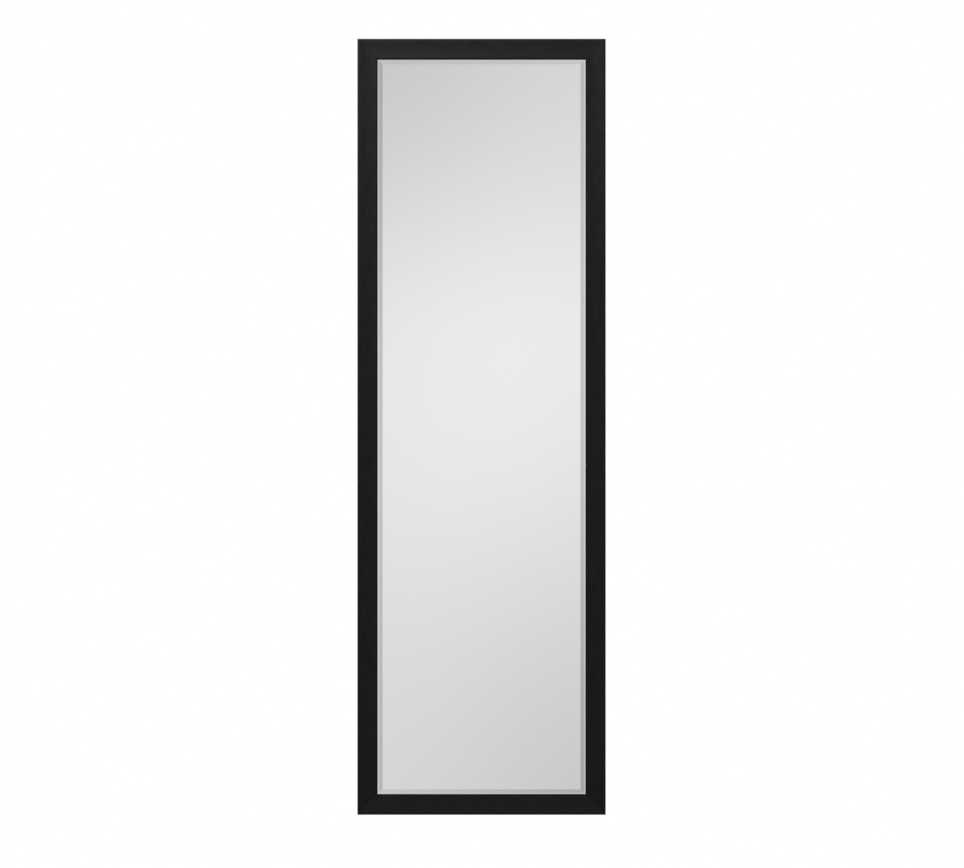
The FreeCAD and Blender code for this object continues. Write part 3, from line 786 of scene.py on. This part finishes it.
def ball_sets():
    """Balls, each turned from pole to pole."""
    tilts = [math.radians(-87 + 14.5 * k) for k in range(13)]
    for node in ("upper_outer_balls", "upper_inner_balls", "lower_outer_balls", "lower_inner_balls"):
        shapes = []
        for low, high in solids_of(node):
            radius = (high.x - low.x) / 2
            ball = turned([(radius * math.cos(t), radius * math.sin(t)) for t in tilts], 20)
            shapes.append(moved(ball, (low + high) / 2))
        piece(node + "_polished", shapes, body_of(node), "ball_steel", [node])


def pivot_bolts():
    """Hexagon bolts that hang through the forks, threaded at their lower ends."""
    shapes = []
    for low, high in solids_of("pivot_bolts"):
        place = Vector(((low.x + high.x) / 2, (low.y + high.y) / 2, 0))
        seat = high.z - bolt_head
        thread_top = low.z + bolt_thread
        ends = (thread_top - shank_overlap, seat + shank_overlap)
        shapes.append(moved(hexagon_head(bolt_flats, bolt_head), place + Vector((0, 0, seat))))
        shapes.append(moved(turned([(bolt_radius, z) for z in ends]), place))
        shapes.append(moved(threaded(bolt_radius, bolt_thread), place + Vector((0, 0, thread_top))))
    piece("pivot_bolts_threaded", shapes, "carriage", "zinc_steel", ["pivot_bolts"])


def lock_nuts():
    """Hexagon nuts with a nylon ring in their collars, below each fork."""
    top = nut_collar_height
    collar = [(nut_lining, top), (nut_collar, top), (nut_collar - 0.05 * mm, 0.5 * mm),
              (nut_collar - 0.35 * mm, 0.1 * mm), (nut_lining + 0.3 * mm, 0.0),
              (nut_lining + 0.1 * mm, 0.2 * mm), (nut_lining, 0.5 * mm)]
    lining = [(nut_bore, top), (nut_lining, top), (nut_lining, 0.3 * mm),
              (nut_lining - 0.1 * mm, 0.2 * mm), (nut_bore, 0.3 * mm)]
    steel = []
    rings = []
    for low, high in solids_of("lock_nuts"):
        place = Vector(((low.x + high.x) / 2, (low.y + high.y) / 2, low.z))
        nut = hexagon_head(bolt_flats, high.z - low.z - top, bore=nut_bore)
        steel.append(moved(nut, place + Vector((0, 0, top))))
        steel.append(moved(turned_ring(collar), place))
        rings.append(moved(turned_ring(lining), place))
    piece("lock_nuts_chamfered", steel, "carriage", "zinc_steel", ["lock_nuts"])
    piece("lock_nut_rings", rings, "carriage", "nylon")


def hex_screws(node, flats, head_height, radius, toward):
    """Hexagon-head screws, their heads on the side that faces toward along Y."""
    shapes = []
    for low, high in solids_of(node):
        outer = high.y if toward > 0 else low.y
        seat = Vector(((low.x + high.x) / 2, outer - toward * head_height, (low.z + high.z) / 2))
        length = (high.y - low.y) - head_height
        turn = facing((0, toward, 0), seat)
        shapes.append(placed(hexagon_head(flats, head_height), turn))
        shapes.append(placed(threaded(radius, length), turn))
    piece(node + "_threaded", shapes, body_of(node), "zinc_steel", [node])


def bead(start, end, radius):
    """Weld bead along a line, rippled as each drop sets over the last."""
    rows = 60
    length = (Vector(end) - Vector(start)).length
    profile = []
    for k in range(rows + 1):
        z = length * k / rows
        from_end = min(1.0, z / radius, (length - z) / radius)
        swell = math.sqrt(max(0.02, 1 - (1 - from_end) ** 2))
        drop = (z % bead_ripple) / bead_ripple
        profile.append((radius * swell * (0.9 + 0.1 * math.sin(math.pi * drop)), z))
    return placed(turned(profile, 20), facing(Vector(end) - Vector(start), start))


def weld_beads():
    """Beads that join the pivot brackets to the post, in front of it and behind it."""
    post_low, post_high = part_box("carrier_post")
    across, deep = back_bead_inset
    seams = [(post_high.x, post_low.y, front_bead_radius),
             (post_high.x - across, post_high.y - deep, back_bead_radius)]
    shapes = []
    for node in ("lower_pivot_bracket", "upper_pivot_bracket"):
        low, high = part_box(node)
        z = (low.z + high.z) / 2
        for x, y, radius in seams:
            shapes.append(bead((x, y, z - bead_reach), (x, y, z + bead_reach), radius))
    piece("weld_beads", shapes, "carriage", "black_powder_coat")


def rest_rivets():
    """Two rivets that hold the foot of each rest bracket to its inner member."""
    tilts = [math.radians(11 * k) for k in range(9)]
    dome = turned([(rivet_radius * math.cos(a), rivet_height * math.sin(a)) for a in tilts])
    shapes = []
    for node in ("lower_rest_bracket", "upper_rest_bracket"):
        low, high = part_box(node)
        for side in (-1, 1):
            z = (low.z + high.z) / 2 + side * rivet_offset
            shapes.append(placed(dome, facing((0, -1, 0), (high.x - rivet_inset, high.y - rest_sheet, z))))
    piece("rest_bracket_rivets", shapes, "carriage", "zinc_steel")


def bumpers():
    """Turned rubber buffers with a rounded rim and a dished face."""
    shapes = []
    for low, high in solids_of("rest_bumpers"):
        r = (high.x - low.x) / 2
        h = high.y - low.y
        foot = [(0.94 * r, 0), (r, 0.05 * h), (r, 0.2 * h), (0.9 * r, 0.3 * h)]
        rim = [(0.84 * r, 0.75 * h), (0.78 * r, 0.92 * h), (0.66 * r, h), (0.5 * r, h)]
        dish = [(0.42 * r, 0.93 * h), (0.02 * r, 0.9 * h)]
        base = Vector(((low.x + high.x) / 2, high.y, (low.z + high.z) / 2))
        shapes.append(placed(turned(foot + rim + dish, 48), facing((0, -1, 0), base)))
    piece("rest_bumpers_moulded", shapes, "carriage", "rubber", ["rest_bumpers"])


def end_stops():
    """Nylon blocks, slotted behind the face that the members close against so that it gives."""
    block = merged("slide_end_stops")
    mesh = bpy.data.meshes.new("end_stop_blocks")
    block.to_mesh(mesh)
    block.free()
    corner = 0.45 * stop_slot
    past = 1 * mm
    slots = []
    for low, high in solids_of("slide_end_stops"):
        right = high.x - stop_wall
        left = right - stop_slot
        bottom = low.z + stop_slot_inset
        top = high.z - stop_slot_inset
        outline = rounded([(left, bottom, corner), (right, bottom, corner),
                           (right, top, corner), (left, top, corner)])
        slots.append(skin([[(a, y, b) for a, b in outline] for y in (low.y - past, high.y + past)]))
    shape = cut(mesh, mesh_of("slots", slots))
    ease(piece("slide_end_stops_moulded", [shape], "cabinet", "nylon", ["slide_end_stops"]), 0.35 * mm)


# ---------------------------------------------------------------- studio

def world():
    """White to the camera, level light on the object, and a soft studio for its reflections."""
    made = bpy.data.worlds.new("studio")
    made.use_nodes = True
    bpy.context.scene.world = made
    n = Nodes(made.node_tree)
    n.tree.nodes.clear()
    x, y, z = n.axes(n.add("TexCoord").outputs["Generated"])
    seen, mirrored = n.ray_kinds()
    level = n.mix(mirrored, grey(0.5), studio_light(n, x, y, z))
    background = n.add("Background", {"Color": n.mix(seen, level, white), "Strength": 1.0})
    n.join(background.outputs[0], n.add("OutputWorld").inputs["Surface"])


def studio_light(n, x, y, z):
    """Brightness of the studio all round, by the direction that is looked in."""
    past_floor = 0.76
    front = n.blend(n.spread(z, -0.24, -0.16, 1.0, 0.0), front_light(n, x, y, z), past_floor)
    walls = n.spread(z, -0.1, 0.1, 0.9, 0.97)
    toward_ceiling = n.spread(z, 0.15, 0.8, 1.0, 0.62)
    aside = n.spread(y, -0.92, -0.8, 0.0, 1.0)
    light = n.blend(aside, front, n.product(walls, toward_ceiling))
    return n.add("CombineXYZ", {"X": light, "Y": light, "Z": light}).outputs[0]


def front_light(n, x, y, z):
    """Brightness of the studio in front of the mirror, which its flat and its bevels show to the camera."""
    base = 0.6
    height = n.math("DIVIDE", z, upright)
    patch = n.product(soft_patch(n, x, height), 0.23)
    lean = n.product(slant(n, x, z, height), 0.07)
    off_axis = n.math("SUBTRACT", 1.0, n.product(y, y))
    edge_shade = n.spread(off_axis, 0.01, 0.12, 1.0, 0.9)
    light = n.product(n.total(base, patch, lean), side_shade(n, x, z, height), edge_shade)
    return n.math("DIVIDE", light, silvering)


def soft_patch(n, x, height):
    """Bright patch above the middle, which fades faster upward than downward."""
    middle = 0.2
    above = n.math("GREATER_THAN", height, middle)
    width = n.math("SUBTRACT", 0.83, n.product(above, 0.245))
    return n.product(n.bell(height, middle, width), n.bell(x, 0.0, 0.13))


def slant(n, x, z, height):
    """More light at the upper right and the lower left, less at the other two corners."""
    side = n.math("TANH", n.math("DIVIDE", x, sideways))
    return n.product(side, height, n.bell(z, 0.0, 0.3))


def side_shade(n, x, z, height):
    """Part of the light that is left where the side bevels look, which is less toward their ends."""
    aside = n.spread(n.math("ABSOLUTE", x), 0.08, 0.3, 0.0, 0.35)
    ends = n.product(n.math("SUBTRACT", 1.0, n.bell(height, 0.1, 0.9)), n.bell(z, 0.0, 0.3))
    return n.math("SUBTRACT", 1.0, n.product(aside, ends))


def floor_glow(n):
    """Light that the floor adds: enough to be white to the camera, and in mirrors a pale studio floor."""
    place = n.add("TexCoord").outputs["Object"]
    x, y, _ = n.axes(place)
    away = n.add("VectorMath", {0: place}, operation="LENGTH").outputs["Value"]
    front_spot = (0, -1.6, 0)      # what the lower bevel shows to the camera
    from_spot = n.add("VectorMath", {0: place, 1: front_spot}, operation="DISTANCE").outputs["Value"]
    seen, mirrored = n.ray_kinds()
    lift = n.spread(away, 0.5 * floor_radius, floor_radius, 0.64, 0.9)
    left = n.spread(x, -0.3, 0.3, 0.13, 0.0)
    outside_spot = n.spread(from_spot, 0.5, 1.35, 0.0, 0.4)
    right = n.spread(x, 0.5, 1.2, 0.0, 0.13)
    behind = n.spread(y, -0.8, 0.5, 0.0, 0.06)
    pale = n.total(left, outside_spot, right, behind)
    strength = n.total(n.product(seen, lift), n.product(mirrored, pale))
    return n.add("Emission", {"Color": white, "Strength": strength})


def floor_material():
    """Matt and glowing from above, so that it is white and keeps a shadow, and clear from below."""
    material = bpy.data.materials.new("floor")
    material.use_nodes = True
    n = Nodes(material.node_tree)
    n.tree.nodes.clear()
    top = n.add("AddShader")
    n.join(n.add("BsdfDiffuse", {"Color": grey(0.36)}).outputs[0], top.inputs[0])
    n.join(floor_glow(n).outputs[0], top.inputs[1])
    both = n.add("MixShader", {"Fac": n.add("NewGeometry").outputs["Backfacing"]})
    n.join(top.outputs[0], both.inputs[1])
    n.join(n.add("BsdfTransparent").outputs[0], both.inputs[2])
    n.join(both.outputs[0], n.add("OutputMaterial").inputs["Surface"])
    return material


def floor():
    """Round floor under the mirror, as white as the backdrop."""
    steps = 96
    mesh = bpy.data.meshes.new("floor")
    mesh.from_pydata(circle(floor_radius, 0, steps), [], [tuple(range(steps))])
    mesh.materials.append(floor_material())
    item = bpy.data.objects.new("floor", mesh)
    item.location.z = floor_z
    bpy.context.scene.collection.objects.link(item)


def lamp(name, place, target, width, height, power):
    """Soft lamp at a place, turned to its target. The camera doesn't see it."""
    light = bpy.data.lights.new(name, "AREA")
    light.shape = "RECTANGLE"
    light.size = width
    light.size_y = height
    light.energy = power
    item = bpy.data.objects.new(name, light)
    item.location = place
    item.rotation_euler = (Vector(target) - Vector(place)).to_track_quat("-Z", "Y").to_euler()
    item.visible_camera = False
    bpy.context.scene.collection.objects.link(item)


def camera():
    """Straight on, where the frame's face falls on the photograph's outline of it."""
    across = (seen_right - seen_left) / (2 * half_width)
    down = (seen_bottom - seen_top) / (2 * half_height)
    pixels = (across + down) / 2      # to a metre, at the frame's face
    right = (photo_size[0] / 2 - (seen_left + seen_right) / 2) / pixels
    up = ((seen_top + seen_bottom) / 2 - photo_size[1] / 2) / pixels
    data = bpy.data.cameras.new("camera")
    data.sensor_width = sensor_width
    data.lens = pixels * camera_distance * sensor_width / photo_size[0]
    item = bpy.data.objects.new("camera", data)
    item.location = (mirror_x + right, mirror_front - camera_distance, up)
    item.rotation_euler = (math.radians(90), 0, 0)
    bpy.context.scene.collection.objects.link(item)
    bpy.context.scene.camera = item


# ---------------------------------------------------------------- the whole scene

camera()
world()
floor()
lamp("key", place=(-1.32, -2.01, 2.0), target=(-0.52, 0.19, 0.3), width=2.2, height=1.1, power=130)
lamp("back", place=(1.0, 2.4, 1.8), target=(0, 0, 0), width=3.0, height=3.0, power=45)

# the rails take the lighter copy of the lacquer, a painted sheen
frame_bar("frame_bottom_rail", 2 * half_width, half_height, turn=0, coat="rail_lacquer_painted_sheen")
frame_bar("frame_left_stile", 2 * half_height, half_width, turn=90, coat="frame_lacquer")
frame_bar("frame_top_rail", 2 * half_width, half_height, turn=180, coat="rail_lacquer_painted_sheen")
frame_bar("frame_right_stile", 2 * half_height, half_width, turn=270, coat="frame_lacquer")
glass()
softened("backing_board", "backing_board", edge=0.6 * mm)
softened("cardboard_sheet", "cardboard", edge=0.2 * mm)
softened("backing_clips", "zinc_steel", edge=0.2 * mm)
softened("corner_v_nails", "zinc_steel", edge=0.08 * mm, back=mirror_back + 0.06 * mm)
clip_screws()

for level in ("lower", "upper"):
    softened(level + "_hinge_plate", "zinc_steel", edge=0.3 * mm)
    softened(level + "_pivot_bracket", "black_powder_coat", edge=0.3 * mm)
    softened(level + "_rest_bracket", "black_powder_coat", edge=0.3 * mm)
    for member in ("outer", "middle", "inner"):
        softened(level + "_" + member + "_member", "slide_steel", edge=0.15 * mm)
    for cage in ("outer", "inner"):
        softened(level + "_" + cage + "_cage", "cage_steel", edge=0.08 * mm)
softened("carrier_post", "black_powder_coat", edge=0.3 * mm)
softened("hinge_bushes", "nylon", edge=0.15 * mm)
end_stops()
ball_sets()
pivot_bolts()
lock_nuts()
hex_screws("carrier_screws", bolt_flats, bolt_head, bolt_radius, toward=-1)
hex_screws("hinge_plate_screws", wood_screw_flats, wood_screw_head, wood_screw_radius, toward=1)
bumpers()
weld_beads()
rest_rivets()

bpy.context.scene.view_settings.view_transform = "Standard"
